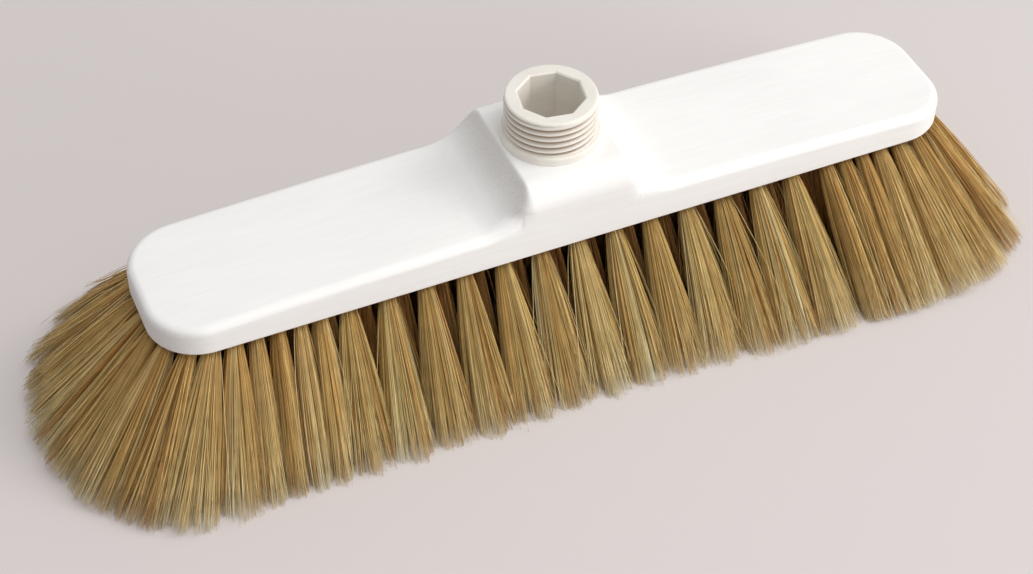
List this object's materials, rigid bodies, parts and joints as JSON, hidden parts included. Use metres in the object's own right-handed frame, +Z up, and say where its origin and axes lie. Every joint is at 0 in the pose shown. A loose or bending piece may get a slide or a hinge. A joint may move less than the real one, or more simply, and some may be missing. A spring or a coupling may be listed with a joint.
{
  "type": "push broom head",
  "caption": "Indoor push broom head: lacquered wooden block with a raised saddle, threaded plastic handle socket with an octagonal bore, and flared natural bristle tufts.",
  "frame": {"origin": "centre of the footprint, at the plane the bristle tips stand on", "axes": "+Z up through the socket, X along the block (front of the broom, nearest the camera, is -Y), Y across the block"},
  "size_m": [0.5043, 0.1598, 0.1205],
  "materials": {
    "block_lacquer": "white satin lacquer on wood",
    "socket_plastic": "ivory semi-gloss moulded plastic",
    "bristle_hair": "natural light tan animal hair",
    "anchor_wire": "flat drawn steel wire"
  },
  "bodies": {
    "root": {"broom_block": "block_lacquer", "handle_socket": "socket_plastic", "front_outer_tufts": "bristle_hair", "front_inner_tufts": "bristle_hair", "centre_tufts": "bristle_hair", "back_inner_tufts": "bristle_hair", "back_outer_tufts": "bristle_hair", "left_end_ring_tufts": "bristle_hair", "left_end_inner_tufts": "bristle_hair", "left_end_centre_tufts": "bristle_hair", "right_end_ring_tufts": "bristle_hair", "right_end_inner_tufts": "bristle_hair", "right_end_centre_tufts": "bristle_hair", "front_outer_anchors": "anchor_wire", "front_inner_anchors": "anchor_wire", "centre_anchors": "anchor_wire", "back_inner_anchors": "anchor_wire", "back_outer_anchors": "anchor_wire", "left_end_ring_anchors": "anchor_wire", "left_end_inner_anchors": "anchor_wire", "left_end_centre_anchors": "anchor_wire", "right_end_ring_anchors": "anchor_wire", "right_end_inner_anchors": "anchor_wire", "right_end_centre_anchors": "anchor_wire"}
  },
  "joints": []
}
